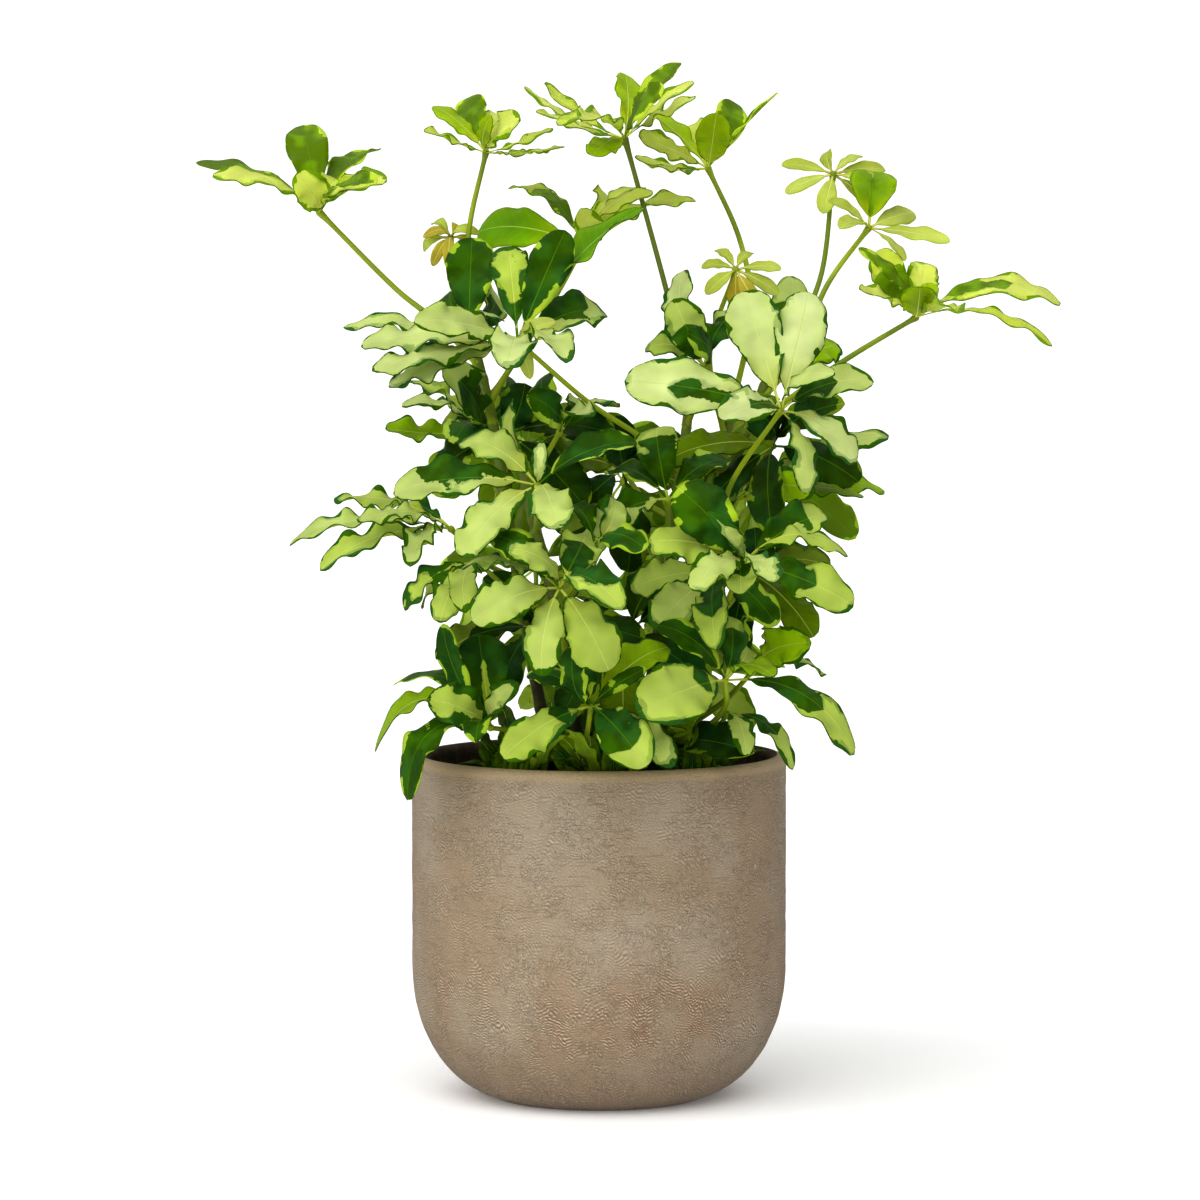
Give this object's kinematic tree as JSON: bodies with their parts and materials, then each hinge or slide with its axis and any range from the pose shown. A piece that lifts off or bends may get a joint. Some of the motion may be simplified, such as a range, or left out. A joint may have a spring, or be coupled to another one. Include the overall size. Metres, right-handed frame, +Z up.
{
  "type": "potted umbrella plant",
  "caption": "Variegated dwarf umbrella plant with fans of waved leaflets on long stalks, in a rounded textured pot.",
  "frame": {"origin": "middle of the pot's flat foot, on the surface that it stands on", "axes": "+Z up along the pot's axis, -Y towards the front of the plant, +X to the viewer's right"},
  "size_m": [0.4357, 0.3465, 0.5249],
  "materials": {
    "pot": "unglazed stoneware with fine scratched relief, soft sheen",
    "soil": "dark crumbly potting mix",
    "stem": "smooth young bark, green-brown",
    "leaf": "leathery leaf, pale lime with dark green margins and blotches, satin",
    "young_leaf": "young leaf, yellow-green, satin",
    "shoot": "dark green small leaves, satin"
  },
  "bodies": {
    "root": {"pot": "pot", "soil": "soil", "shoots_front_left": "shoot", "shoots_front": "shoot", "shoots_front_right": "shoot", "shoots_back": "shoot", "stem_left": "stem", "stem_front": "stem", "stem_middle": "stem", "stem_back": "stem", "stem_right": "stem", "leaf_front_middle": "leaf", "leaf_front_upper": "leaf", "leaf_broad_right": "leaf", "leaf_front_right": "leaf", "leaf_front_low": "leaf", "leaf_low_right": "leaf", "leaf_low_left": "leaf", "leaf_broad_left": "leaf", "leaf_far_left": "leaf", "leaf_top_left": "leaf", "leaf_top_middle": "leaf", "leaf_top_right": "leaf", "leaf_far_right": "leaf", "leaf_upper_middle": "leaf", "leaf_upper_right": "leaf", "young_leaf_right": "young_leaf", "young_leaf_middle": "young_leaf", "young_leaf_left": "young_leaf", "leaf_dark_left": "leaf", "leaf_left_behind": "leaf", "leaf_left_ruffled": "leaf", "leaf_left_drooping": "leaf", "leaf_inner_right": "leaf", "leaf_inner_middle": "leaf", "leaf_inner_low": "leaf", "leaf_dark_right": "leaf", "leaf_behind_right": "leaf", "leaf_right_ruffled": "leaf", "leaf_inner_upper": "leaf", "leaf_low_right_behind": "leaf", "leaf_rim_right": "leaf", "leaf_middle_1": "leaf", "leaf_middle_2": "leaf", "leaf_middle_3": "leaf", "leaf_middle_4": "leaf", "leaf_middle_5": "leaf", "leaf_middle_6": "leaf", "leaf_middle_7": "leaf", "leaf_back_1": "leaf", "leaf_back_2": "leaf", "leaf_back_3": "leaf", "leaf_back_4": "leaf", "leaf_back_5": "leaf", "leaf_back_6": "leaf", "leaf_back_7": "leaf", "leaf_back_8": "leaf"}
  },
  "joints": []
}
